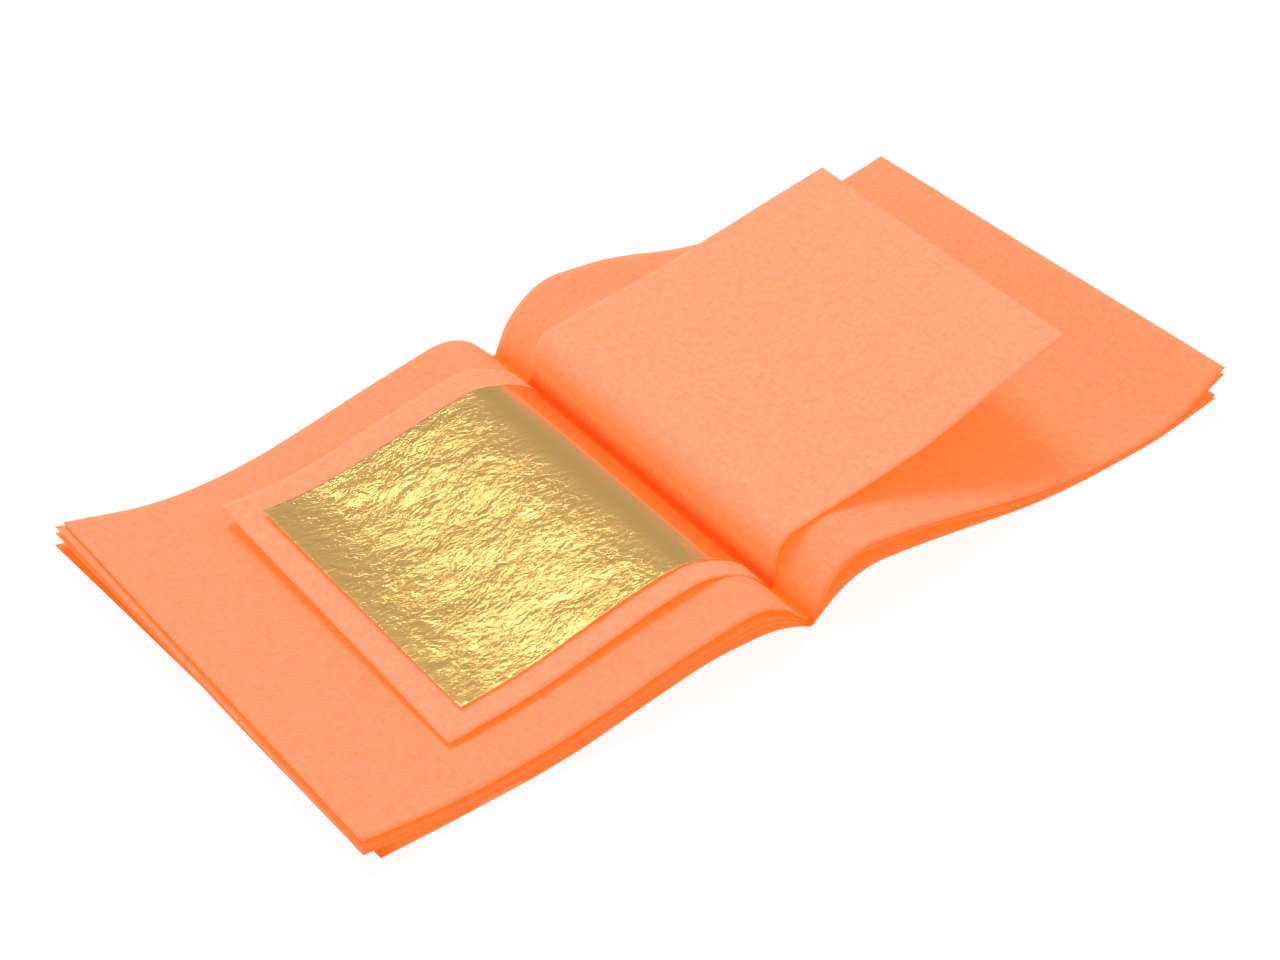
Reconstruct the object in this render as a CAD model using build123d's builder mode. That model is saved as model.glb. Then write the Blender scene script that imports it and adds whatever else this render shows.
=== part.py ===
import os
from math import acos, tan

from build123d import *

# Booklet of gold leaf, lying open on a table.
# The origin is on the table under the middle of the fold.
# X runs across the open booklet, Y along the fold towards the back, Z up.
# Left pieces are built on the -X side, right pieces on the +X side.

# Sheets
leaf_length = 67.0
tissue_length = 51.4
tissue_thickness = 0.08
gold_size = 43.3
gold_thickness = 0.05

# How far each half of the open booklet reaches from the fold, and how high it humps
left_reach = 63.4
right_reach = 66.0
left_hump_height = 7.0
right_hump_height = 8.8
cover_height = 17.0

# How much of that reach the two halves of the small folded sheet have
carrier_reach_share = 0.730
cover_reach_share = 0.691

# Binding
leaves_per_side = 4
paste_width = 2.4
paste_height = 0.25
paste_edge_height = 0.08
paste_end_margin = 1.5
paste_clearance = 0.10
fold_clearance = 0.12
centre_fold_clearance = 0.27
fold_half_width = 0.25
fold_gap = 0.40

# The small sheets on show
tissue_shift = 0.10
gold_shift = 0.55
gold_start = 2.0
gold_fore_margin = 4.1
gold_clearance = 0.06
cover_bend_distance = 4.4
cover_bend_gap = 0.10

# The folded tissues that lie closed between the left leaves.
# They start at a share of the leaf's second run and end at a share of its reach.
packet_height = 0.33
packet_turn_share = 0.40
packet_clearance = 0.10
packet_start_share = 0.46
packet_fore_edge_share = 0.921
packet_gold_start_share = 0.52
packet_gold_fore_edge_share = 0.845

# Bend lines of each sheet from the fold outwards.
# A row is reach share and height share at the front edge, then the same at the back edge.
left_top_shares = (
    (0.084, 1.000, 0.084, 1.040),
    (0.237, 0.900, 0.237, 0.830),
    (0.584, 0.407, 0.584, 0.314),
    (0.789, 0.343, 0.789, 0.357),
)
left_bottom_shares = (
    (0.073, 0.393, 0.073, 0.414),
    (0.237, 0.479, 0.237, 0.471),
    (0.568, 0.000, 0.568, 0.000),
    (0.773, 0.000, 0.773, 0.000),
)
right_top_shares = (
    (0.061, 1.000, 0.061, 1.000),
    (0.258, 0.760, 0.258, 0.810),
    (0.591, 0.115, 0.576, 0.227),
    (0.856, 0.080, 0.803, 0.190),
)
right_bottom_shares = (
    (0.102, 0.602, 0.102, 0.580),
    (0.258, 0.443, 0.258, 0.443),
    (0.561, 0.000, 0.561, 0.000),
    (0.830, 0.000, 0.788, 0.000),
)

# How far down each large leaf lies between the top leaf and the bottom one at each bend line.
# A row is one leaf, from the top leaf down.
left_drop_shares = (
    (0.00, 0.00, 0.00, 0.00),
    (0.42, 0.50, 0.48, 0.48),
    (0.68, 0.74, 0.74, 0.74),
    (1.00, 1.00, 1.00, 1.00),
)
right_drop_shares = (
    (0.00, 0.00, 0.00, 0.00),
    (0.33, 0.30, 0.52, 0.34),
    (0.66, 0.55, 0.76, 0.67),
    (1.00, 1.00, 1.00, 1.00),
)

# Outer edge of each large leaf, from the top leaf down, in the same shares as a bend line
left_fore_edge_shares = (
    (0.990, 0.603, 0.993, 0.939),
    (0.996, 0.400, 1.011, 0.925),
    (0.990, 0.275, 1.014, 0.786),
    (0.957, 0.036, 1.019, 0.540),
)
right_fore_edge_shares = (
    (0.997, 0.690, 0.979, 0.386),
    (0.995, 0.574, 0.979, 0.330),
    (0.976, 0.262, 0.979, 0.170),
    (0.974, 0.220, 0.979, 0.114),
)
carrier_shares = (
    (0.121, 1.129, 0.121, 1.157),
    (0.335, 1.043, 0.335, 1.086),
    (0.734, 0.536, 0.734, 0.629),
    (1.000, 0.436, 0.983, 0.729),
)
cover_shares = (
    (0.033, 0.456, 0.033, 0.456),
    (0.263, 0.515, 0.263, 0.500),
    (0.526, 0.612, 0.526, 0.550),
    (0.735, 0.800, 0.768, 0.635),
    (1.000, 1.000, 1.070, 0.730),
)

# A bend takes this share of the shorter run beside it, and the first bend may take more
bend_share = 0.45
leaf_first_bend_share = 0.70
cover_first_bend_share = 0.42

LEFT = -1
RIGHT = 1

carrier_reach = carrier_reach_share * left_reach
cover_reach = cover_reach_share * right_reach

fold_step = tissue_thickness + fold_clearance
bottom_fold_height = paste_height + paste_clearance
top_fold_height = bottom_fold_height + (leaves_per_side - 1) * fold_step
centre_fold_height = top_fold_height + tissue_thickness + centre_fold_clearance

leaf_front = -leaf_length / 2
leaf_back = leaf_length / 2
tissue_front = -tissue_length / 2 - tissue_shift
tissue_back = tissue_length / 2 - tissue_shift
gold_front = -gold_size / 2 - gold_shift
gold_back = gold_size / 2 - gold_shift


def leaf_fold_height(number):
    """Height of the fold of a large leaf, counted from the top leaf down."""
    return top_fold_height - (number - 1) * fold_step


def leaf_rows(side, number):
    """Bend lines and outer edge of a large leaf."""
    if side == LEFT:
        top_rows, bottom_rows = left_top_shares, left_bottom_shares
        drops, fore_edge = left_drop_shares[number - 1], left_fore_edge_shares[number - 1]
    else:
        top_rows, bottom_rows = right_top_shares, right_bottom_shares
        drops, fore_edge = right_drop_shares[number - 1], right_fore_edge_shares[number - 1]
    rows = [
        tuple((1 - drop) * a + drop * b for a, b in zip(top, bottom))
        for drop, top, bottom in zip(drops, top_rows, bottom_rows)
    ]
    return rows + [fore_edge]


def sheet_path(rows, side, reach, height, fold_height, start, first_share, y):
    """Corner points (x, z) and bend radii of a sheet's underside where it crosses y."""
    back = y / leaf_length + 1 / 2
    fold = Vector(side * fold_half_width, fold_height)
    points = [fold]
    for x_front, z_front, x_back, z_back in rows:
        x = ((1 - back) * x_front + back * x_back) * reach
        z = ((1 - back) * z_front + back * z_back) * height
        points.append(Vector(side * x, z))
    runs = [b - a for a, b in zip(points, points[1:])]
    radii = []
    for before, after in zip(runs, runs[1:]):
        turn = acos(before.normalized().dot(after.normalized()))
        share = bend_share if radii else first_share
        radii.append(min(share * before.length, bend_share * after.length) / tan(turn / 2))
    points[0] = fold + runs[0].normalized() * start
    return points, radii


def lifted(path, side, lift):
    """The path that runs at the given distance above another one."""
    points, radii = path
    runs = [(b - a).normalized() for a, b in zip(points, points[1:])]
    normals = [Vector(-run.Y, run.X) * side for run in runs]
    moved = [points[0] + normals[0] * lift]
    bends = []
    for n, (before, after) in enumerate(zip(normals, normals[1:])):
        moved.append(points[n + 1] + (before + after) * (lift / (1 + before.dot(after))))
        over_a_crest = runs[n + 1].dot(before) < 0
        bends.append(radii[n] + lift if over_a_crest else radii[n] - lift)
    moved.append(points[-1] + normals[-1] * lift)
    return moved, bends


def sheet_outline(path, side, thickness):
    """Closed edge outline of a sheet that has this path as its underside."""
    points, radii = path
    with BuildLine() as outline:
        FilletPolyline(*points, radius=radii)
        offset(amount=thickness, side=Side.LEFT if side == RIGHT else Side.RIGHT)
    return outline.line


def packet_outline(path, side, thickness, height):
    """Closed edge outline of a sheet folded in two, with its fold at the start of the path."""
    lower_points, lower_radii = path
    upper_points, upper_radii = lifted(path, side, height)
    turn_radius = packet_turn_share * height
    points = lower_points[::-1] + upper_points
    radii = lower_radii[::-1] + [turn_radius, turn_radius] + upper_radii
    with BuildLine() as outline:
        FilletPolyline(*points, radius=radii)
        offset(amount=thickness, side=Side.LEFT if side == LEFT else Side.RIGHT)
    return outline.line


def ruled_sheet(front_outline, back_outline, y_front, y_back):
    """Solid ruled straight from the front outline to the back one."""
    with BuildPart() as sheet:
        for outline, y in ((front_outline, y_front), (back_outline, y_back)):
            with BuildSketch(Plane.XZ.offset(-y)):
                add(outline)
                make_face()
        loft(ruled=True)
    return sheet.part


def leaf_path(side, number, y):
    """Underside path of a large leaf where it crosses y."""
    reach, height = (left_reach, left_hump_height) if side == LEFT else (right_reach, right_hump_height)
    return sheet_path(leaf_rows(side, number), side, reach, height, leaf_fold_height(number), fold_gap,
                      leaf_first_bend_share, y)


def large_leaf(side, number):
    """One half of a large folded sheet."""
    outlines = [sheet_outline(leaf_path(side, number, y), side, tissue_thickness) for y in (leaf_front, leaf_back)]
    return ruled_sheet(*outlines, leaf_front, leaf_back)


def packet_path(number, start_share, y):
    """Underside path of what lies on a left leaf, from a start beyond the middle of the leaf's hump."""
    points, radii = leaf_path(LEFT, number, y)
    start = points[1] + (points[2] - points[1]) * start_share
    path = [start] + points[2:], radii[1:]
    return lifted(path, LEFT, tissue_thickness + packet_clearance)


os.makedirs("parts", exist_ok=True)

# Paste bead under the fold, which holds the folded sheets together
with BuildPart() as spine_paste:
    with BuildSketch(Plane.XZ):
        with BuildLine():
            Polyline(
                (-paste_width / 2, paste_edge_height),
                (-paste_width / 2, 0),
                (paste_width / 2, 0),
                (paste_width / 2, paste_edge_height),
            )
            ThreePointArc(
                (paste_width / 2, paste_edge_height),
                (0, paste_height),
                (-paste_width / 2, paste_edge_height),
            )
        make_face()
    extrude(amount=leaf_length / 2 - paste_end_margin, both=True)
spine_paste.part.label = "spine_paste"
export_step(spine_paste.part, "parts/spine_paste.step")

# Large leaves, numbered from the top leaf down, four on each side of the fold
for number in range(1, leaves_per_side + 1):
    with BuildPart() as left_leaf:
        add(large_leaf(LEFT, number))
    left_leaf.part.label = f"left_leaf_{number}"
    export_step(left_leaf.part, f"parts/left_leaf_{number}.step")
    with BuildPart() as right_leaf:
        add(large_leaf(RIGHT, number))
    right_leaf.part.label = f"right_leaf_{number}"
    export_step(right_leaf.part, f"parts/right_leaf_{number}.step")

# Carrier tissue, the left half of the small folded sheet, which the gold lies on
carrier_outlines = []
for y in (tissue_front, tissue_back):
    path = sheet_path(carrier_shares, LEFT, carrier_reach, left_hump_height, centre_fold_height, fold_gap,
                      leaf_first_bend_share, y)
    carrier_outlines.append(sheet_outline(path, LEFT, tissue_thickness))
with BuildPart() as carrier_tissue:
    add(ruled_sheet(*carrier_outlines, tissue_front, tissue_back))
carrier_tissue.part.label = "carrier_tissue"
export_step(carrier_tissue.part, "parts/carrier_tissue.step")

# Gold leaf on the carrier tissue
gold_outlines = []
for y in (gold_front, gold_back):
    path = sheet_path(carrier_shares, LEFT, carrier_reach, left_hump_height, centre_fold_height, gold_start,
                      leaf_first_bend_share, y)
    gold_path = lifted(path, LEFT, tissue_thickness + gold_clearance)
    gold_outlines.append(sheet_outline(gold_path, LEFT, gold_thickness))
with BuildPart() as gold_leaf:
    add(ruled_sheet(*gold_outlines, gold_front, gold_back))
    split(bisect_by=Plane.YZ.offset(gold_fore_margin - carrier_reach), keep=Keep.TOP)
gold_leaf.part.label = "gold_leaf"
export_step(gold_leaf.part, "parts/gold_leaf.step")

# Cover tissue, the right half of the small folded sheet, standing up off the right leaves.
# Its short root rises from the fold, and its page is the raised part beyond the bend.
cover_outlines = []
for y in (tissue_front, tissue_back):
    path = sheet_path(cover_shares, RIGHT, cover_reach, cover_height, centre_fold_height, fold_gap,
                      cover_first_bend_share, y)
    cover_outlines.append(sheet_outline(path, RIGHT, tissue_thickness))
cover_sheet = ruled_sheet(*cover_outlines, tissue_front, tissue_back)
with BuildPart() as cover_tissue_root:
    add(cover_sheet)
    split(bisect_by=Plane.YZ.offset(cover_bend_distance - cover_bend_gap / 2), keep=Keep.BOTTOM)
cover_tissue_root.part.label = "cover_tissue_root"
export_step(cover_tissue_root.part, "parts/cover_tissue_root.step")
with BuildPart() as cover_tissue:
    add(cover_sheet)
    split(bisect_by=Plane.YZ.offset(cover_bend_distance + cover_bend_gap / 2), keep=Keep.TOP)
cover_tissue.part.label = "cover_tissue"
export_step(cover_tissue.part, "parts/cover_tissue.step")

# Folded tissues with a leaf of gold in each, closed between the left leaves.
# The first one lies on the second leaf from the top.
for number in range(1, leaves_per_side):
    tissue_outlines = []
    for y in (tissue_front, tissue_back):
        path = packet_path(number + 1, packet_start_share, y)
        tissue_outlines.append(packet_outline(path, LEFT, tissue_thickness, packet_height))
    with BuildPart() as folded_tissue:
        add(ruled_sheet(*tissue_outlines, tissue_front, tissue_back))
        split(bisect_by=Plane.YZ.offset(-packet_fore_edge_share * left_reach), keep=Keep.TOP)
    folded_tissue.part.label = f"folded_tissue_{number}"
    export_step(folded_tissue.part, f"parts/folded_tissue_{number}.step")
    leaf_outlines = []
    for y in (gold_front, gold_back):
        path = packet_path(number + 1, packet_gold_start_share, y)
        inner_path = lifted(path, LEFT, (packet_height - gold_thickness) / 2)
        leaf_outlines.append(sheet_outline(inner_path, LEFT, gold_thickness))
    with BuildPart() as enclosed_gold:
        add(ruled_sheet(*leaf_outlines, gold_front, gold_back))
        split(bisect_by=Plane.YZ.offset(-packet_gold_fore_edge_share * left_reach), keep=Keep.TOP)
    enclosed_gold.part.label = f"enclosed_gold_leaf_{number}"
    export_step(enclosed_gold.part, f"parts/enclosed_gold_leaf_{number}.step")
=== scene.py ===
from math import cos, pi, radians, sin

import bmesh
import bpy
from bpy.props import FloatProperty, FloatVectorProperty, PointerProperty
from bpy.types import Operator, Panel, PropertyGroup
from mathutils import Matrix, Vector, noise


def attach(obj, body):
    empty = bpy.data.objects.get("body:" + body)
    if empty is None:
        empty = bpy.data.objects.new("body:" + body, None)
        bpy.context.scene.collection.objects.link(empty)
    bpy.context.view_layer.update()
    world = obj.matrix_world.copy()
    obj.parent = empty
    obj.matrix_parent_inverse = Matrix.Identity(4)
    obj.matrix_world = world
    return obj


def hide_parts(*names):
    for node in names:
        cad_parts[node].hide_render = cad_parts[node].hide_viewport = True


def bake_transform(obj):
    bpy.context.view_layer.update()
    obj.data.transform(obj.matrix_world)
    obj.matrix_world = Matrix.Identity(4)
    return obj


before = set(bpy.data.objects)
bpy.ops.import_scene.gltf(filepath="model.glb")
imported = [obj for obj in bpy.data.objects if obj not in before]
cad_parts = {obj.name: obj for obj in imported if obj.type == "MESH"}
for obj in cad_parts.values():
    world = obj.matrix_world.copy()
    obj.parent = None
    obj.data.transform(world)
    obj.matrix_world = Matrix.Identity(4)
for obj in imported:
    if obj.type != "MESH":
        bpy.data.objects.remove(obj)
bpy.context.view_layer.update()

bl_info = {
    "name": "Gold Leaf Booklet",
    "version": (1, 0, 0),
    "blender": (4, 5, 0),
    "location": "View3D > Sidebar > Gold Booklet",
    "description": "Dresses an open booklet of tissue leaves that holds a square of gold leaf",
    "category": "Add Mesh",
}

MM = 0.001
WHITE = (1.0, 1.0, 1.0, 1.0)

# Height of each large sheet's crease above the table, from the top leaf down, and of the small one's
LEAVES_PER_SIDE = 4
FOLD_HEIGHTS = (0.95 * MM, 0.75 * MM, 0.55 * MM, 0.35 * MM)
SMALL_FOLD_HEIGHT = 1.30 * MM

# How far from the crease the CAD halves of a sheet start, and the gold
FOLD_HALF_WIDTH = 0.25 * MM
GOLD_START = 2.0 * MM

# Steps of a sheet's mesh, across the fold and along it, and how they crowd towards the fold
LEAF_STEPS = (120, 72)
SMALL_STEPS = (110, 64)
GOLD_STEPS = (210, 210)
FOLD_CROWDING = 1.5

# Reading a CAD sheet: merge distance, least facing of an end face, and steps of its middle line
MERGE_DISTANCE = 0.0005 * MM
END_FACING = 0.99
LINE_STEPS = 600

# Slight waves of a loose sheet: where they rise beside the fold, and their cells per metre
WAVES_RISE = (6 * MM, 20 * MM)
SLOW_WAVES = (55.0, 40.0)
EDGE_WAVES = 150.0
EDGE_WAVE_SHARE = 0.45
EDGE_MARGIN = 9 * MM

# Share of the large leaves' wave height that the other sheets have
OUTER_WAVE_SHARE = 0.6
CARRIER_WAVE_SHARE = 0.5
COVER_WAVE_SHARE = 0.8

# Curl of the top right leaf's back edge, between two ranges of distance from the fold
CURL_HEIGHT = 1.1 * MM
CURL_RISE = (6 * MM, 15 * MM)
CURL_FALL = (20 * MM, 36 * MM)
CURL_MARGIN = 7 * MM

# Lift of the lower right leaves' front edges, which eases beyond the hump
PRESS_RISE = (1.5 * MM, 7 * MM)
PRESS_FALL = (20 * MM, 32 * MM)
PRESS_EASE = (9 * MM, 14 * MM)
PRESS_EASE_SHARE = 0.4
PRESS_MARGIN = (4 * MM, 18 * MM)

# Flattening of the small sheet's hump, and of the gold on it
FLAT_DROP = 0.6 * MM
FLAT_RISE = (2.5 * MM, 7.5 * MM)
FLAT_FALL = (8.5 * MM, 14 * MM)

# End of the gold's smooth part, its bulge halfway along, and where the creases rise about it
GOLD_SMOOTH = 9 * MM
GOLD_SMOOTH_BULGE = 3 * MM
GOLD_CREASES_RISE = (-4 * MM, 6 * MM)

# Fore edge of the gold, which curls in a band that widens towards the back
GOLD_CURL_BAND = 2 * MM
GOLD_CURL_WIDENING = 7 * MM
GOLD_CURL_OVERRUN = 1 * MM
GOLD_CURL_HEIGHT = 0.45 * MM
GOLD_CURL_SMOOTHING = 0.6
GOLD_CLEARANCE = 0.05 * MM

# Facets of the crumpled gold: size, share of the height, direction in degrees, and stretch
GOLD_FACETS = (
    (5.0 * MM, 1.10, -38, 2.2),
    (2.2 * MM, 0.50, 5, 1.5),
    (1.1 * MM, 0.28, -65, 1.4),
    (0.6 * MM, 0.17, 25, 1.2),
)
FACET_SEED_STEP = 7
LATTICE_SKEW = 0.366

# How far the facets' edges wander, and how far the gold's cut edges fray
FACET_WANDER = 1.3 * MM
FACET_WANDER_CELLS = 230.0
WANDER_LAYERS = (1.7, 8.4)
FRAY = 0.12 * MM
FRAY_CELLS = 900.0
FRAY_MARGIN = 0.05 * MM

# Colour of a painted glow that lifts the shade of the tissue, standing in for the dye's fluorescence
PAINTED_DYE_GLOW_COLOR = (1.0, 0.50, 0.02)
# How much of each colour is left in the creases of the sheets, where painted shade and painted bounce
# light turn them deep orange, and how wide that painted shade is
LEAF_CREASE_PAINTED_SHADE = (1.0, 0.65, 0.10)
SMALL_CREASE_PAINTED_SHADE = (1.0, 0.27, 0.0)
PAINTED_CREASE_SHADE_WIDTH = 2.8 * MM

# Range that most values of a noise texture fall in
NOISE_RANGE = (0.3, 0.7)

# Tissue's noises: cells per metre, detail, roughness, and stretch across, along and turned
TISSUE_CLOUDS = (300.0, 3.0)
TISSUE_FIBRES = (1400.0, 4.0, 0.65, (1.0, 0.5, radians(12)))
TISSUE_HAIRS = (2400.0, 3.0, 0.6, (0.35, 1.0, radians(-25)))
TISSUE_GRAIN = (2600.0, 2.0, 0.6)

# How far each noise changes the tissue's shade, and the tissue's surface
CLOUD_CHANGE = 0.03
FIBRE_CHANGE = 0.14
HAIR_CHANGE = 0.10
TISSUE_ROUGHNESS = 0.75
TISSUE_SPECULAR = 0.25
TISSUE_BUMP = 0.3
TISSUE_BUMP_DEPTH = 0.02 * MM

# Small creases of the gold between its facets: direction, wandering, cells per metre and shares
GOLD_CREASE_ANGLE = radians(35)
GOLD_CREASE_SQUEEZE = 0.6
GOLD_WANDER = 1.6 * MM
GOLD_WANDER_CELLS = 500.0
GOLD_WANDER_DETAIL = 3.0
GOLD_CELLS = 1000.0
GOLD_SMALL_CELLS = 2600.0
GOLD_SMALL_SHARE = 0.5
GOLD_FINE = (5000.0, 3.0, 0.6)
GOLD_FINE_SHARE = 0.35
GOLD_BUMP_DEPTH = 0.10 * MM

# Bump strength of the gold, from one distance across it to another, at the fold and the fore edge
GOLD_BUMP_AT_FOLD = (6 * MM, 15 * MM, 0.02, 1.0)
GOLD_BUMP_AT_EDGE = (43 * MM, 39 * MM, 0.4, 1.0)

# Dried paste, and the closed packets
PASTE_COLOR = (0.82, 0.66, 0.46, 1.0)
PASTE_ROUGHNESS = 0.45
PASTE_LUMPS = (900.0, 4.0)
PASTE_BUMP = 0.4
PASTE_BUMP_DEPTH = 0.05 * MM
PACKET_MOTTLE = (900.0, 3.0)
PACKET_CHANGE = 0.04
PACKET_GOLD_ROUGHNESS = 0.25

# Floor and studio wall in metres, the wall's paler top in mirrors, and its fill light
FLOOR_REACH = 3.0
FLOOR_GLOW = 0.93
WALL_RADIUS = 1.6
WALL_HEIGHT = 2.6
WALL_SEGMENTS = 64
WALL_PALE_FROM = 1.15
WALL_TOP_SHADE = 0.85
FILL_AT_FRONT = 0.45
FILL_AT_BACK = 1.55

# World light, and the place, size and strength of the lights and of the card that the gold mirrors
WORLD_LIGHT = 0.68
TOP_LIGHT_PLACE = (0.3, 0.95, 1.7)
TOP_LIGHT_SIZE = 0.8
FRONT_LIGHT_PLACE = (-0.9, -0.7, 0.9)
FRONT_LIGHT_SIZE = 0.9
CARD_PLACE = (0.10, 0.74, 1.80)
CARD_SIZE = 0.32
CARD_STRENGTH = 13.0

# Camera, worked out from the corners and edges of the sheets
CAMERA_PLACE = (-189.37 * MM, -286.43 * MM, 285.28 * MM)
CAMERA_AZIMUTH = radians(33.371)
CAMERA_DOWN = radians(39.586)
CAMERA_ROLL = radians(-4.011)
CAMERA_LENS = 100.966
CAMERA_SENSOR = 36.0
CAMERA_NEAR = 0.01


class GILDING_PG_tissue(PropertyGroup):
    """Sizes and colours of the tissue sheets"""

    leaf_color: FloatVectorProperty(
        name="Leaf Colour", description="Colour of the large tissue leaves",
        subtype="COLOR", size=3, min=0.0, max=1.0, default=(1.0, 0.215, 0.165))
    small_color: FloatVectorProperty(
        name="Small Sheet Colour", description="Colour of the small folded tissue",
        subtype="COLOR", size=3, min=0.0, max=1.0, default=(1.0, 0.250, 0.205))
    thickness: FloatProperty(
        name="Thickness", description="Thickness of a tissue sheet",
        unit="LENGTH", min=0.01 * MM, max=0.2 * MM, default=0.05 * MM)
    show_through: FloatProperty(
        name="Show-through", description="Share of the light that each face of a sheet lets through",
        subtype="FACTOR", min=0.0, max=1.0, default=0.46)
    wave_height: FloatProperty(
        name="Wave Height", description="Height of the slight waves in a large leaf",
        unit="LENGTH", min=0.0, max=1.0 * MM, default=0.16 * MM)
    # Strength of a painted glow that lifts the shade of the tissue, standing in for the dye's
    # fluorescence
    painted_dye_glow: FloatProperty(
        name="Painted Dye Glow", description="How strongly the fluorescent dye glows",
        min=0.0, max=1.0, default=0.48)


class GILDING_PG_gold(PropertyGroup):
    """Size of the creases and the colour of the gold leaf"""

    color: FloatVectorProperty(
        name="Gold Colour", description="Colour of the gold leaf",
        subtype="COLOR", size=3, min=0.0, max=1.0, default=(0.91, 0.560, 0.178))
    roughness: FloatProperty(
        name="Roughness", description="Roughness of the gold between its creases",
        subtype="FACTOR", min=0.0, max=1.0, default=0.17)
    thickness: FloatProperty(
        name="Thickness", description="Thickness of the gold foil",
        unit="LENGTH", min=0.005 * MM, max=0.1 * MM, default=0.02 * MM)
    crease_height: FloatProperty(
        name="Crease Height", description="Height of the largest creases",
        unit="LENGTH", min=0.0, max=1.0 * MM, default=0.19 * MM)


class GILDING_PG_stage(PropertyGroup):
    """Floor, light and camera"""

    floor_color: FloatVectorProperty(
        name="Floor Colour", description="Colour of the floor",
        subtype="COLOR", size=3, min=0.0, max=1.0, default=(0.92, 0.92, 0.92))
    wall_shade: FloatProperty(
        name="Wall Shade", description="Brightness of the lower studio wall that the gold reflects",
        min=0.0, max=1.0, default=0.52)
    fill: FloatProperty(
        name="Fill", description="Brightness of the studio wall for everything but mirrors",
        min=0.0, max=5.0, default=1.0)
    top_light: FloatProperty(
        name="Top Light", description="Power of the soft light overhead",
        unit="POWER", min=0.0, max=500.0, default=36.0)
    front_light: FloatProperty(
        name="Front Light", description="Power of the soft light at the front left",
        unit="POWER", min=0.0, max=500.0, default=2.0)


def new_material(name):
    """An empty material with its output node."""
    material = bpy.data.materials.new(name)
    material.use_nodes = True
    nodes = material.node_tree.nodes
    nodes.clear()
    return material, nodes, material.node_tree.links, nodes.new("ShaderNodeOutputMaterial")


def feed(links, value, socket):
    """Join a value to a socket, or write it there if it is a plain number."""
    if isinstance(value, float):
        socket.default_value = value
    else:
        links.new(value, socket)


def noise_node(nodes, links, vector, scale, detail, roughness=0.5, stretch=None):
    """A noise texture on the given coordinates, stretched along an axis where asked."""
    texture = nodes.new("ShaderNodeTexNoise")
    texture.inputs["Scale"].default_value = scale
    texture.inputs["Detail"].default_value = detail
    texture.inputs["Roughness"].default_value = roughness
    if stretch:
        across, along, turn = stretch
        vector = turned_place(nodes, links, vector, turn, (across, along, 1.0))
    links.new(vector, texture.inputs["Vector"])
    return texture.outputs["Fac"]


def turned_place(nodes, links, vector, turn, scale):
    """Coordinates scaled across and along, and turned."""
    mapping = nodes.new("ShaderNodeMapping")
    mapping.inputs["Rotation"].default_value = (0.0, 0.0, turn)
    mapping.inputs["Scale"].default_value = scale
    links.new(vector, mapping.inputs["Vector"])
    return mapping.outputs["Vector"]


def edge_distance(nodes, links, vector, scale):
    """Distance to the nearest edge between scattered cells, which makes small flat facets."""
    texture = nodes.new("ShaderNodeTexVoronoi")
    texture.feature = "DISTANCE_TO_EDGE"
    texture.inputs["Scale"].default_value = scale
    links.new(vector, texture.inputs["Vector"])
    return texture.outputs["Distance"]


def spread(nodes, links, value, low, high, to_low, to_high):
    """A value moved from one range to another, and held inside it."""
    node = nodes.new("ShaderNodeMapRange")
    node.inputs["From Min"].default_value = low
    node.inputs["From Max"].default_value = high
    node.inputs["To Min"].default_value = to_low
    node.inputs["To Max"].default_value = to_high
    links.new(value, node.inputs["Value"])
    return node.outputs["Result"]


def combine(nodes, links, operation, first, second):
    """Two values put together, where the second may be a plain number."""
    node = nodes.new("ShaderNodeMath")
    node.operation = operation
    links.new(first, node.inputs[0])
    feed(links, second, node.inputs[1])
    return node.outputs[0]


def coordinate(nodes, links, vector, axis):
    """One of a place's coordinates."""
    split = nodes.new("ShaderNodeSeparateXYZ")
    links.new(vector, split.inputs["Vector"])
    return split.outputs[axis]


def sheet_place(nodes):
    """Place on a flat sheet in metres: across it from the fold, and along the fold."""
    uv = nodes.new("ShaderNodeUVMap")
    uv.uv_map = "Sheet"
    return uv.outputs["UV"]


def scaled_color(nodes, links, shade):
    """A node that multiplies the colour put into it by a shade."""
    tint = nodes.new("ShaderNodeVectorMath")
    tint.operation = "SCALE"
    links.new(shade, tint.inputs["Scale"])
    return tint


def add_bump(nodes, links, shader, height, strength, depth):
    """Small relief on a shader, where the strength may change over the surface."""
    bump = nodes.new("ShaderNodeBump")
    bump.inputs["Distance"].default_value = depth
    feed(links, strength, bump.inputs["Strength"])
    links.new(height, bump.inputs["Height"])
    links.new(bump.outputs["Normal"], shader.inputs["Normal"])


def painted_crease_shade(nodes, links, open_part, color, crease_painted_shade):
    """A colour with painted shade and painted bounce light in the crease: it turns deep orange there, as
    light bouncing from tissue to tissue would make it.
    """
    creased = nodes.new("ShaderNodeMix")
    creased.data_type = "RGBA"
    deep = [part * share for part, share in zip(color, crease_painted_shade)]
    creased.inputs["A"].default_value = (*deep, 1.0)
    creased.inputs["B"].default_value = (*color, 1.0)
    links.new(open_part, creased.inputs["Factor"])
    return creased.outputs["Result"]


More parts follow.
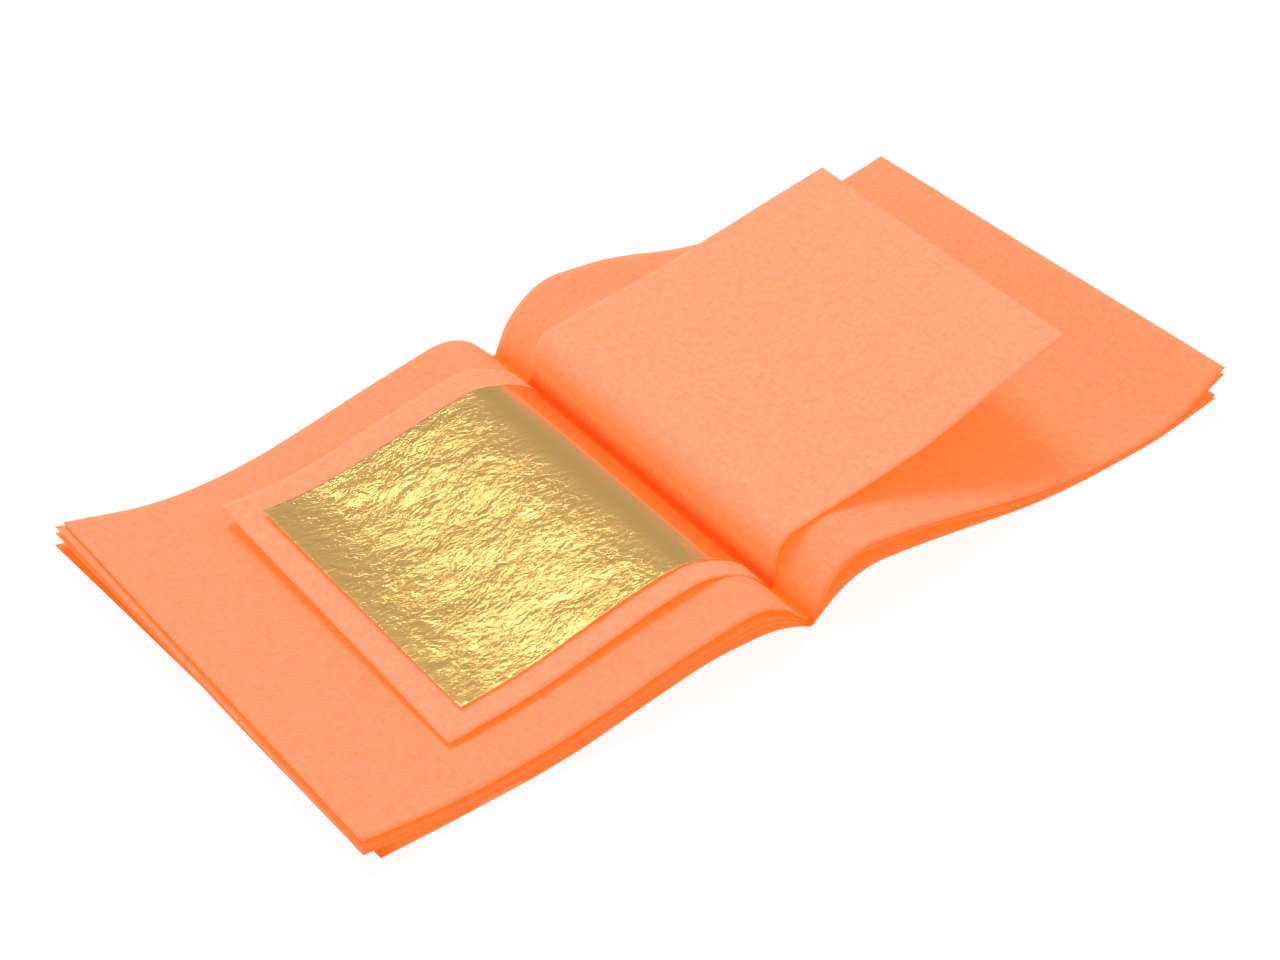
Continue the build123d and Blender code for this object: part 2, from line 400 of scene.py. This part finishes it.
def tissue_material(name, color, crease_painted_shade, show_through, painted_dye_glow):
    """Thin dyed tissue paper with short fibres, cloudy patches and a little light coming through, with
    painted shade in its crease and a painted glow.
    """
    material, nodes, links, output = new_material(name)
    place = sheet_place(nodes)
    clouds = noise_node(nodes, links, place, *TISSUE_CLOUDS)
    fibres = noise_node(nodes, links, place, *TISSUE_FIBRES)
    hairs = noise_node(nodes, links, place, *TISSUE_HAIRS)
    grain = noise_node(nodes, links, place, *TISSUE_GRAIN)
    shade = spread(nodes, links, clouds, *NOISE_RANGE, -CLOUD_CHANGE, CLOUD_CHANGE)
    for texture, change in ((fibres, FIBRE_CHANGE), (hairs, HAIR_CHANGE)):
        shade = combine(nodes, links, "ADD", shade,
                        spread(nodes, links, texture, *NOISE_RANGE, -change, change))
    tint = scaled_color(nodes, links, combine(nodes, links, "ADD", shade, 1.0))
    # Painted shade and painted bounce light: the colour and the painted glow turn deep orange near the
    # fold
    across = coordinate(nodes, links, place, "X")
    open_part = spread(nodes, links, across, 0.0, PAINTED_CREASE_SHADE_WIDTH, 0.0, 1.0)
    links.new(painted_crease_shade(nodes, links, open_part, color, crease_painted_shade), tint.inputs[0])
    glow_color = painted_crease_shade(nodes, links, open_part, PAINTED_DYE_GLOW_COLOR, crease_painted_shade)
    principled = nodes.new("ShaderNodeBsdfPrincipled")
    principled.inputs["Roughness"].default_value = TISSUE_ROUGHNESS
    principled.inputs["Specular IOR Level"].default_value = TISSUE_SPECULAR
    # Painted glow that lifts the shade of the tissue, standing in for the dye's fluorescence
    principled.inputs["Emission Strength"].default_value = painted_dye_glow
    links.new(glow_color, principled.inputs["Emission Color"])
    links.new(tint.outputs[0], principled.inputs["Base Color"])
    relief = combine(nodes, links, "ADD", fibres, grain)
    add_bump(nodes, links, principled, relief, TISSUE_BUMP, TISSUE_BUMP_DEPTH)
    through = nodes.new("ShaderNodeBsdfTranslucent")
    links.new(tint.outputs[0], through.inputs["Color"])
    mix = nodes.new("ShaderNodeMixShader")
    mix.inputs["Fac"].default_value = show_through
    links.new(principled.outputs[0], mix.inputs[1])
    links.new(through.outputs[0], mix.inputs[2])
    links.new(mix.outputs[0], output.inputs["Surface"])
    return material


def gold_material(name, color, roughness):
    """Beaten gold leaf: a soft mirror with sharp small creases between the facets of the mesh."""
    material, nodes, links, output = new_material(name)
    flat_place = sheet_place(nodes)
    turned = turned_place(nodes, links, flat_place, GOLD_CREASE_ANGLE, (GOLD_CREASE_SQUEEZE, 1.0, 1.0))
    wander = nodes.new("ShaderNodeTexNoise")
    wander.inputs["Scale"].default_value = GOLD_WANDER_CELLS
    wander.inputs["Detail"].default_value = GOLD_WANDER_DETAIL
    links.new(turned, wander.inputs["Vector"])
    bent = nodes.new("ShaderNodeVectorMath")
    bent.operation = "MULTIPLY_ADD"
    bent.inputs[1].default_value = (GOLD_WANDER, GOLD_WANDER, 0.0)
    links.new(wander.outputs["Color"], bent.inputs[0])
    links.new(turned, bent.inputs[2])
    place = bent.outputs[0]
    relief = edge_distance(nodes, links, place, GOLD_CELLS)
    finer = ((edge_distance(nodes, links, place, GOLD_SMALL_CELLS), GOLD_SMALL_SHARE),
             (noise_node(nodes, links, place, *GOLD_FINE), GOLD_FINE_SHARE))
    for texture, share in finer:
        relief = combine(nodes, links, "ADD", relief, combine(nodes, links, "MULTIPLY", texture, share))
    across = coordinate(nodes, links, flat_place, "X")
    strength = combine(nodes, links, "MINIMUM", spread(nodes, links, across, *GOLD_BUMP_AT_FOLD),
                       spread(nodes, links, across, *GOLD_BUMP_AT_EDGE))
    principled = nodes.new("ShaderNodeBsdfPrincipled")
    principled.inputs["Base Color"].default_value = (*color, 1.0)
    principled.inputs["Metallic"].default_value = 1.0
    principled.inputs["Roughness"].default_value = roughness
    add_bump(nodes, links, principled, relief, strength, GOLD_BUMP_DEPTH)
    links.new(principled.outputs[0], output.inputs["Surface"])
    return material


def paste_material(name):
    """Dried bookbinder's paste, pale and slightly shiny."""
    material, nodes, links, output = new_material(name)
    place = nodes.new("ShaderNodeTexCoord").outputs["Object"]
    lumps = noise_node(nodes, links, place, *PASTE_LUMPS)
    principled = nodes.new("ShaderNodeBsdfPrincipled")
    principled.inputs["Base Color"].default_value = PASTE_COLOR
    principled.inputs["Roughness"].default_value = PASTE_ROUGHNESS
    add_bump(nodes, links, principled, lumps, PASTE_BUMP, PASTE_BUMP_DEPTH)
    links.new(principled.outputs[0], output.inputs["Surface"])
    return material


def packet_material(name, color, roughness, metallic, glow):
    """A slightly mottled finish on object coordinates, for a packet that is closed in."""
    material, nodes, links, output = new_material(name)
    place = nodes.new("ShaderNodeTexCoord").outputs["Object"]
    mottle = noise_node(nodes, links, place, *PACKET_MOTTLE)
    shade = spread(nodes, links, mottle, *NOISE_RANGE, 1.0 - PACKET_CHANGE, 1.0 + PACKET_CHANGE)
    tint = scaled_color(nodes, links, shade)
    tint.inputs[0].default_value = color
    principled = nodes.new("ShaderNodeBsdfPrincipled")
    principled.inputs["Roughness"].default_value = roughness
    principled.inputs["Metallic"].default_value = metallic
    # Painted glow, as on the open tissue, which lifts its shade
    principled.inputs["Emission Color"].default_value = (*PAINTED_DYE_GLOW_COLOR, 1.0)
    principled.inputs["Emission Strength"].default_value = glow
    links.new(tint.outputs[0], principled.inputs["Base Color"])
    links.new(principled.outputs[0], output.inputs["Surface"])
    return material


def show_material(node, material):
    """Give a CAD node that stays in view its finish."""
    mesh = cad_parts[node].data
    mesh.materials.clear()
    mesh.materials.append(material)


def object_from(bm, name):
    """A new object with the shape of a bmesh, which is freed."""
    mesh = bpy.data.meshes.new(name)
    bm.to_mesh(mesh)
    bm.free()
    made = bpy.data.objects.new(name, mesh)
    bpy.context.collection.objects.link(made)
    return made


def rim_corners(bm, facing):
    """Corners around the front (-1) or back (1) cut end of a sheet's solid, in order."""
    neighbours = {}
    for edge in bm.edges:
        ends = [face for face in edge.link_faces if face.normal.y * facing > END_FACING]
        if len(ends) == 1 and len(edge.link_faces) == 2:
            for corner in edge.verts:
                neighbours.setdefault(corner, []).append(edge.other_vert(corner))
    first = next(iter(neighbours))
    order = [first]
    before, here = None, first
    while True:
        ahead = [corner for corner in neighbours[here] if corner is not before][0]
        if ahead is first:
            return [corner.co.copy() for corner in order]
        order.append(ahead)
        before, here = here, ahead


def evenly(points, shares):
    """Points at these shares of a line's length."""
    lengths = [0.0]
    for a, b in zip(points, points[1:]):
        lengths.append(lengths[-1] + (b - a).length)
    placed = []
    k = 0
    for share in shares:
        wanted = share * lengths[-1]
        while k < len(points) - 2 and lengths[k + 1] < wanted:
            k += 1
        run = lengths[k + 1] - lengths[k]
        placed.append(points[k].lerp(points[k + 1], (wanted - lengths[k]) / run if run else 0.0))
    return placed


def edge_line(bm, facing):
    """Middle line of a sheet's cut end, from the fold outwards."""
    corners = rim_corners(bm, facing)
    count = len(corners)
    middles = [abs((corners[k] + corners[(k + 1) % count]).x) for k in range(count)]
    root = middles.index(min(middles))
    tip = middles.index(max(middles))
    one_side, other_side = [], []
    k = (root + 1) % count
    while k != (tip + 1) % count:
        one_side.append(corners[k])
        k = (k + 1) % count
    k = root
    while k != tip:
        other_side.append(corners[k])
        k = (k - 1) % count
    shares = [k / LINE_STEPS for k in range(LINE_STEPS + 1)]
    return [(a + b) / 2 for a, b in zip(evenly(one_side, shares), evenly(other_side, shares))]


def sheet_lines(node):
    """Front and back middle lines of a CAD sheet, from the fold outwards."""
    bm = bmesh.new()
    bm.from_mesh(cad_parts[node].data)
    bmesh.ops.remove_doubles(bm, verts=bm.verts, dist=MERGE_DISTANCE)
    lines = edge_line(bm, -1), edge_line(bm, 1)
    bm.free()
    return lines


def length_of(points):
    """Length of a line of points."""
    return sum((b - a).length for a, b in zip(points, points[1:]))


def from_fold(lines, height):
    """A half sheet's lines with the last bit down to the crease added."""
    whole = []
    for line in lines:
        y = line[0].y
        side = 1 if line[-1].x > 0 else -1
        crease = [Vector((0.0, y, height)), Vector((side * FOLD_HALF_WIDTH, y, height))]
        whole.append(crease + line)
    return whole


def fold_shares(count):
    """Shares of a sheet's width, closest together at its fold."""
    return [(k / count) ** FOLD_CROWDING for k in range(count + 1)]


def bent_sheet(name, lines, steps, thickness, material, relief, shares=None):
    """A thin closed sheet between a front line and a back line.

    relief(across, along, width, depth) says how far a point moves up, across and along, in metres.
    """
    columns, rows = steps
    shares = shares or [k / columns for k in range(columns + 1)]
    front, back = (evenly(line, shares) for line in lines)
    width = (length_of(front) + length_of(back)) / 2
    depth = back[0].y - front[0].y
    bm = bmesh.new()
    bmesh.ops.create_grid(bm, x_segments=columns, y_segments=rows, size=0.5)
    uv_layer = bm.loops.layers.uv.new("Sheet")
    for face in bm.faces:
        for loop in face.loops:
            column = round((loop.vert.co.x + 0.5) * columns)
            loop[uv_layer].uv = (shares[column] * width, (loop.vert.co.y + 0.5) * depth)
    for corner in bm.verts:
        column = round((corner.co.x + 0.5) * columns)
        along = corner.co.y + 0.5
        place = front[column].lerp(back[column], along)
        before, after = max(column - 1, 0), min(column + 1, columns)
        across_run = front[after].lerp(back[after], along) - front[before].lerp(back[before], along)
        along_run = back[column] - front[column]
        up = across_run.cross(along_run).normalized()
        if up.z < 0:
            up = -up
        lift, outwards, backwards = relief(shares[column] * width, along * depth, width, depth)
        moved = across_run.normalized() * outwards + along_run.normalized() * backwards
        corner.co = place + up * lift + moved
    bmesh.ops.recalc_face_normals(bm, faces=bm.faces)
    if sum(face.normal.z for face in bm.faces) < 0:
        bmesh.ops.reverse_faces(bm, faces=bm.faces)
    for face in bm.faces:
        face.smooth = True
    sheet = object_from(bm, name)
    sheet.data.materials.append(material)
    solid = sheet.modifiers.new("Thickness", "SOLIDIFY")
    solid.thickness = thickness
    solid.offset = 0.0
    return sheet, width, depth


def smooth_step(low, high, value):
    """0 below low, 1 above high, and a smooth rise between."""
    share = min(max((value - low) / (high - low), 0.0), 1.0)
    return share * share * (3 - 2 * share)


def rise_and_fall(rise, fall, value):
    """0 outside both ranges, 1 between them, and smooth in each."""
    return smooth_step(*rise, value) * (1.0 - smooth_step(*fall, value))


def waves(seed, height, fold_at=0.0, lift=None):
    """Relief of a loose sheet: slight waves that fade towards the fold, and more at its edges."""
    def relief(across, along, width, depth):
        distance = abs(across - fold_at)
        slow = noise.noise(Vector((across * SLOW_WAVES[0], along * SLOW_WAVES[1], seed * 7.3)))
        quick = noise.noise(Vector((across * EDGE_WAVES, along * EDGE_WAVES, seed * 3.1)))
        edge = 1.0 - smooth_step(0.0, EDGE_MARGIN, min(along, depth - along, width - across))
        up = height * smooth_step(*WAVES_RISE, distance) * (slow + EDGE_WAVE_SHARE * edge * quick)
        if lift:
            up += lift(distance, along, depth)
        return up, 0.0, 0.0
    return relief


def curled_back(distance, along, depth):
    """The top right leaf's back edge curls up over its hump, beyond the small sheet."""
    at_back = smooth_step(depth - CURL_MARGIN, depth, along)
    return CURL_HEIGHT * rise_and_fall(CURL_RISE, CURL_FALL, distance) * at_back


def pressed_up(height):
    """A leaf's front edge that lies close under the one above it over the hump."""
    def lift(distance, along, depth):
        over_hump = rise_and_fall(PRESS_RISE, PRESS_FALL, distance)
        over_hump *= 1.0 - PRESS_EASE_SHARE * smooth_step(*PRESS_EASE, distance)
        return height * over_hump * (1.0 - smooth_step(*PRESS_MARGIN, along))
    return lift


def flattened(distance, along, depth):
    """The small sheet's hump is rounder than two straight runs beside the fold."""
    return -FLAT_DROP * rise_and_fall(FLAT_RISE, FLAT_FALL, distance)


def facet(across, along, seed):
    """Random heights on a lattice of triangles, joined by flat faces as in crumpled foil."""
    skew = (across + along) * LATTICE_SKEW
    across, along = across + skew, along + skew
    column, row = across // 1, along // 1
    right, up = across - column, along - row
    if right > up:
        corners = ((0, 0, 1.0 - right), (1, 0, right - up), (1, 1, up))
    else:
        corners = ((0, 0, 1.0 - up), (0, 1, up - right), (1, 1, right))
    height = 0.0
    for to_right, upwards, part in corners:
        corner = Vector((column + to_right + 0.5, row + upwards + 0.5, seed + 0.5))
        height += part * (noise.cell(corner) + 1.0) / 2
    return height


def crumpled(crease_height):
    """Relief of the gold: smooth beside the fold, then creased, with a curled and frayed edge."""
    def relief(across, along, width, depth):
        backwards = along / depth
        smooth_end = GOLD_SMOOTH + GOLD_SMOOTH_BULGE * sin(backwards * pi)
        creases_rise = [smooth_end + step for step in GOLD_CREASES_RISE]
        creased = smooth_step(*creases_rise, across)
        band = GOLD_CURL_BAND + GOLD_CURL_WIDENING * backwards
        curled = smooth_step(width - band, width + GOLD_CURL_OVERRUN, across)
        creased *= 1.0 - GOLD_CURL_SMOOTHING * curled
        cell = (across * FACET_WANDER_CELLS, along * FACET_WANDER_CELLS)
        wander = FACET_WANDER * Vector([noise.noise(Vector((*cell, layer))) for layer in WANDER_LAYERS])
        total = 0.0
        for octave, (size, share, angle, stretch) in enumerate(GOLD_FACETS):
            turn = radians(angle)
            level = (across + wander.x) * cos(turn) - (along + wander.y) * sin(turn)
            down = (across + wander.x) * sin(turn) + (along + wander.y) * cos(turn)
            total += share * facet(level / (size * stretch), down / size, octave * FACET_SEED_STEP)
        frayed = 0.0
        if min(width - across, along, depth - along) < FRAY_MARGIN:
            frayed = FRAY * noise.noise(Vector((across * FRAY_CELLS, along * FRAY_CELLS, 8.0)))
        lift = crease_height * creased * total + flattened(across + GOLD_START, along, depth)
        lift += GOLD_CLEARANCE + GOLD_CURL_HEIGHT * curled * backwards
        return lift, frayed, frayed
    return relief


# What moves a large leaf beyond its waves
LIFTS = {
    "right_leaf_1": curled_back,
    "right_leaf_2": pressed_up(0.85 * MM),
    "right_leaf_3": pressed_up(1.65 * MM),
}


class GILDING_OT_leaves(Operator):
    """Make the large tissue leaves on both sides of the fold"""

    bl_idname = "gilding.leaves"
    bl_label = "Make Large Leaves"

    def execute(self, context):
        tissue = context.scene.gilding_tissue
        material = tissue_material("Leaf Tissue", tissue.leaf_color, LEAF_CREASE_PAINTED_SHADE,
                                   tissue.show_through, tissue.painted_dye_glow)
        half = fold_shares(LEAF_STEPS[0])
        for number in range(1, LEAVES_PER_SIDE):
            for side, first_seed in (("left", 0), ("right", 20)):
                node = f"{side}_leaf_{number}"
                lines = from_fold(sheet_lines(node), FOLD_HEIGHTS[number - 1])
                relief = waves(first_seed + number, tissue.wave_height, lift=LIFTS.get(node))
                leaf, width, depth = bent_sheet(f"{side}_tissue_{number}", lines, LEAF_STEPS,
                                                tissue.thickness, material, relief, half)
                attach(leaf, f"{side}_page_{number}")
                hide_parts(node)
        left = from_fold(sheet_lines(f"left_leaf_{LEAVES_PER_SIDE}"), FOLD_HEIGHTS[-1])
        right = from_fold(sheet_lines(f"right_leaf_{LEAVES_PER_SIDE}"), FOLD_HEIGHTS[-1])
        lines = [one[::-1] + other[1:] for one, other in zip(left, right)]
        fold_share = length_of(left[0]) / length_of(lines[0])
        shares = [fold_share * (1.0 - share) for share in half[::-1]]
        shares += [fold_share + (1.0 - fold_share) * share for share in half[1:]]
        relief = waves(9, tissue.wave_height * OUTER_WAVE_SHARE, fold_at=length_of(left[0]))
        leaf, width, depth = bent_sheet("outer_tissue", lines, (2 * LEAF_STEPS[0], LEAF_STEPS[1]),
                                        tissue.thickness, material, relief, shares)
        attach(leaf, "booklet_base")
        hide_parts(f"left_leaf_{LEAVES_PER_SIDE}", f"right_leaf_{LEAVES_PER_SIDE}")
        return {"FINISHED"}


class GILDING_OT_small_sheet(Operator):
    """Make the small folded tissue: the half under the gold and the half that stands up"""

    bl_idname = "gilding.small_sheet"
    bl_label = "Make Small Folded Tissue"

    def execute(self, context):
        tissue = context.scene.gilding_tissue
        material = tissue_material("Small Tissue", tissue.small_color, SMALL_CREASE_PAINTED_SHADE,
                                   tissue.show_through, tissue.painted_dye_glow)
        shares = fold_shares(SMALL_STEPS[0])
        lines = from_fold(sheet_lines("carrier_tissue"), SMALL_FOLD_HEIGHT)
        relief = waves(41, tissue.wave_height * CARRIER_WAVE_SHARE, lift=flattened)
        carrier, width, depth = bent_sheet("carrier_sheet", lines, SMALL_STEPS, tissue.thickness,
                                           material, relief, shares)
        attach(carrier, "carrier_page")
        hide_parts("carrier_tissue")
        root_lines = from_fold(sheet_lines("cover_tissue_root"), SMALL_FOLD_HEIGHT)
        page_lines = sheet_lines("cover_tissue")
        lines = [root + page for root, page in zip(root_lines, page_lines)]
        relief = waves(43, tissue.wave_height * COVER_WAVE_SHARE)
        cover, width, depth = bent_sheet("cover_sheet", lines, SMALL_STEPS, tissue.thickness,
                                         material, relief, shares)
        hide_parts("cover_tissue_root", "cover_tissue")
        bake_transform(cover)
        return {"FINISHED"}


class GILDING_OT_gold(Operator):
    """Make the crumpled gold leaf"""

    bl_idname = "gilding.gold"
    bl_label = "Make Gold Leaf"

    def execute(self, context):
        gold = context.scene.gilding_gold
        material = gold_material("Gold Leaf", gold.color, gold.roughness)
        leaf, width, depth = bent_sheet("gold_foil", sheet_lines("gold_leaf"), GOLD_STEPS,
                                        gold.thickness, material, crumpled(gold.crease_height))
        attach(leaf, "loose_gold")
        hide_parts("gold_leaf")
        return {"FINISHED"}


class GILDING_OT_hidden_pieces(Operator):
    """Finish the closed packets between the leaves and the paste under the fold"""

    bl_idname = "gilding.hidden_pieces"
    bl_label = "Finish Packets and Paste"

    def execute(self, context):
        show_material("spine_paste", paste_material("Dried Paste"))
        tissue = context.scene.gilding_tissue
        # The packets' tissue gets the open sheets' painted glow, less the share that shows through
        glow = tissue.painted_dye_glow * (1.0 - tissue.show_through)
        packet_tissue = packet_material("Packet Tissue", tissue.small_color, TISSUE_ROUGHNESS, 0.0, glow)
        packet_gold = packet_material("Packet Gold", context.scene.gilding_gold.color,
                                      PACKET_GOLD_ROUGHNESS, 1.0, 0.0)
        for number in range(1, LEAVES_PER_SIDE):
            show_material(f"folded_tissue_{number}", packet_tissue)
            show_material(f"enclosed_gold_leaf_{number}", packet_gold)
        return {"FINISHED"}


def camera_ray_mix(nodes, links, seen, other):
    """Shows one shader to the camera, mirrors and glass, and the other to everything else."""
    path = nodes.new("ShaderNodeLightPath")
    direct = path.outputs["Is Camera Ray"]
    for ray in ("Is Glossy Ray", "Is Transmission Ray"):
        direct = combine(nodes, links, "MAXIMUM", direct, path.outputs[ray])
    mix = nodes.new("ShaderNodeMixShader")
    links.new(direct, mix.inputs["Fac"])
    links.new(other, mix.inputs[1])
    links.new(seen, mix.inputs[2])
    return mix.outputs[0]


def white_light(nodes, links, strength, kind="ShaderNodeEmission"):
    """A shader that gives off white light at this strength."""
    light = nodes.new(kind)
    light.inputs["Color"].default_value = WHITE
    feed(links, strength, light.inputs["Strength"])
    return light.outputs[0]


def make_floor(color):
    """A pale floor that shows nearly white, but lights the booklet as its own colour does."""
    bm = bmesh.new()
    bmesh.ops.create_grid(bm, x_segments=1, y_segments=1, size=FLOOR_REACH)
    floor = object_from(bm, "floor")
    material, nodes, links, output = new_material("Pale Floor")
    diffuse = nodes.new("ShaderNodeBsdfDiffuse")
    diffuse.inputs["Color"].default_value = (*color, 1.0)
    pale = nodes.new("ShaderNodeMixShader")
    pale.inputs["Fac"].default_value = FLOOR_GLOW
    links.new(diffuse.outputs[0], pale.inputs[1])
    links.new(white_light(nodes, links, 1.0), pale.inputs[2])
    surface = camera_ray_mix(nodes, links, pale.outputs[0], diffuse.outputs[0])
    links.new(surface, output.inputs["Surface"])
    floor.data.materials.append(material)


def make_studio_wall(shade, fill):
    """A round wall out of view, with one brightness for mirrors and another as fill light."""
    bm = bmesh.new()
    bmesh.ops.create_circle(bm, segments=WALL_SEGMENTS, radius=WALL_RADIUS)
    raised = bmesh.ops.extrude_edge_only(bm, edges=bm.edges[:])["geom"]
    bmesh.ops.translate(bm, vec=(0.0, 0.0, WALL_HEIGHT),
                        verts=[part for part in raised if isinstance(part, bmesh.types.BMVert)])
    wall = object_from(bm, "studio_wall")
    wall.visible_camera = False
    wall.visible_shadow = False
    material, nodes, links, output = new_material("Studio Wall")
    place = nodes.new("ShaderNodeTexCoord").outputs["Object"]
    mirrored = spread(nodes, links, coordinate(nodes, links, place, "Z"),
                      WALL_PALE_FROM, WALL_HEIGHT, shade, WALL_TOP_SHADE)
    fill_light = spread(nodes, links, coordinate(nodes, links, place, "Y"),
                        -WALL_RADIUS, WALL_RADIUS, FILL_AT_FRONT * fill, FILL_AT_BACK * fill)
    surface = camera_ray_mix(nodes, links, white_light(nodes, links, mirrored),
                             white_light(nodes, links, fill_light))
    links.new(surface, output.inputs["Surface"])
    wall.data.materials.append(material)


def make_world(scene):
    """A world that looks white, and lights the booklet less brightly."""
    world = bpy.data.worlds.new("Studio")
    scene.world = world
    world.use_nodes = True
    nodes, links = world.node_tree.nodes, world.node_tree.links
    nodes.clear()
    output = nodes.new("ShaderNodeOutputWorld")
    seen = white_light(nodes, links, 1.0, "ShaderNodeBackground")
    light = white_light(nodes, links, WORLD_LIGHT, "ShaderNodeBackground")
    links.new(camera_ray_mix(nodes, links, seen, light), output.inputs["Surface"])


def facing_booklet(place):
    """Turn of a light or a card at this place that faces the origin."""
    return (-Vector(place)).to_track_quat("-Z", "Y")


def area_light(name, size, power, place):
    """A square soft light that faces the booklet, and that mirrors don't show."""
    data = bpy.data.lights.new(name, "AREA")
    data.shape = "SQUARE"
    data.size = size
    data.energy = power
    light = bpy.data.objects.new(name, data)
    bpy.context.collection.objects.link(light)
    light.location = place
    light.rotation_euler = facing_booklet(place).to_euler()
    light.visible_glossy = False


def glint_card(place, size, strength):
    """A bright card over the booklet that only mirrors show, for the highlights on the gold."""
    bm = bmesh.new()
    bmesh.ops.create_grid(bm, x_segments=1, y_segments=1, size=size / 2)
    turned = facing_booklet(place).to_matrix().to_4x4()
    bmesh.ops.transform(bm, matrix=Matrix.Translation(place) @ turned, verts=bm.verts)
    card = object_from(bm, "glint_card")
    card.visible_camera = False
    card.visible_diffuse = False
    card.visible_shadow = False
    card.visible_transmission = False
    material, nodes, links, output = new_material("Glint Card")
    links.new(white_light(nodes, links, strength), output.inputs["Surface"])
    card.data.materials.append(material)


def make_camera(scene):
    """The camera, looking the way the photograph does."""
    data = bpy.data.cameras.new("photo_camera")
    data.lens = CAMERA_LENS
    data.sensor_width = CAMERA_SENSOR
    data.sensor_fit = "HORIZONTAL"
    data.clip_start = CAMERA_NEAR
    camera = bpy.data.objects.new("photo_camera", data)
    bpy.context.collection.objects.link(camera)
    forward = Vector((sin(CAMERA_AZIMUTH) * cos(CAMERA_DOWN), cos(CAMERA_AZIMUTH) * cos(CAMERA_DOWN),
                      -sin(CAMERA_DOWN)))
    level = Vector((cos(CAMERA_AZIMUTH), -sin(CAMERA_AZIMUTH), 0.0))
    above = level.cross(forward)
    right = level * cos(CAMERA_ROLL) + above * sin(CAMERA_ROLL)
    up = above * cos(CAMERA_ROLL) - level * sin(CAMERA_ROLL)
    turned = Matrix((right, up, -forward)).transposed().to_4x4()
    camera.matrix_world = Matrix.Translation(CAMERA_PLACE) @ turned
    scene.camera = camera


class GILDING_OT_stage(Operator):
    """Make the floor, the studio wall, the lights and the camera"""

    bl_idname = "gilding.stage"
    bl_label = "Make Stage"

    def execute(self, context):
        stage = context.scene.gilding_stage
        make_floor(stage.floor_color)
        make_studio_wall(stage.wall_shade, stage.fill)
        make_world(context.scene)
        area_light("top_light", TOP_LIGHT_SIZE, stage.top_light, TOP_LIGHT_PLACE)
        glint_card(CARD_PLACE, CARD_SIZE, CARD_STRENGTH)
        area_light("front_light", FRONT_LIGHT_SIZE, stage.front_light, FRONT_LIGHT_PLACE)
        make_camera(context.scene)
        context.scene.view_settings.view_transform = "Standard"
        return {"FINISHED"}


class GILDING_PT_panel(Panel):
    """Shows the booklet's settings and the buttons that make its pieces"""

    bl_idname = "GILDING_PT_panel"
    bl_label = "Gold Leaf Booklet"
    bl_space_type = "VIEW_3D"
    bl_region_type = "UI"
    bl_category = "Gold Booklet"

    def draw(self, context):
        layout = self.layout
        for group in ("gilding_tissue", "gilding_gold", "gilding_stage"):
            settings = getattr(context.scene, group)
            box = layout.box()
            for name in settings.__annotations__:
                box.prop(settings, name)
        for operator in OPERATORS:
            layout.operator(operator.bl_idname)


OPERATORS = (
    GILDING_OT_leaves,
    GILDING_OT_small_sheet,
    GILDING_OT_gold,
    GILDING_OT_hidden_pieces,
    GILDING_OT_stage,
)
CLASSES = (GILDING_PG_tissue, GILDING_PG_gold, GILDING_PG_stage, *OPERATORS, GILDING_PT_panel)


def register():
    for cls in CLASSES:
        bpy.utils.register_class(cls)
    bpy.types.Scene.gilding_tissue = PointerProperty(type=GILDING_PG_tissue)
    bpy.types.Scene.gilding_gold = PointerProperty(type=GILDING_PG_gold)
    bpy.types.Scene.gilding_stage = PointerProperty(type=GILDING_PG_stage)


def unregister():
    del bpy.types.Scene.gilding_stage
    del bpy.types.Scene.gilding_gold
    del bpy.types.Scene.gilding_tissue
    for cls in reversed(CLASSES):
        bpy.utils.unregister_class(cls)


def main():
    """Builds the whole booklet."""
    register()
    bpy.ops.gilding.leaves()
    bpy.ops.gilding.small_sheet()
    bpy.ops.gilding.gold()
    bpy.ops.gilding.hidden_pieces()
    bpy.ops.gilding.stage()


if __name__ == "__main__":
    main()
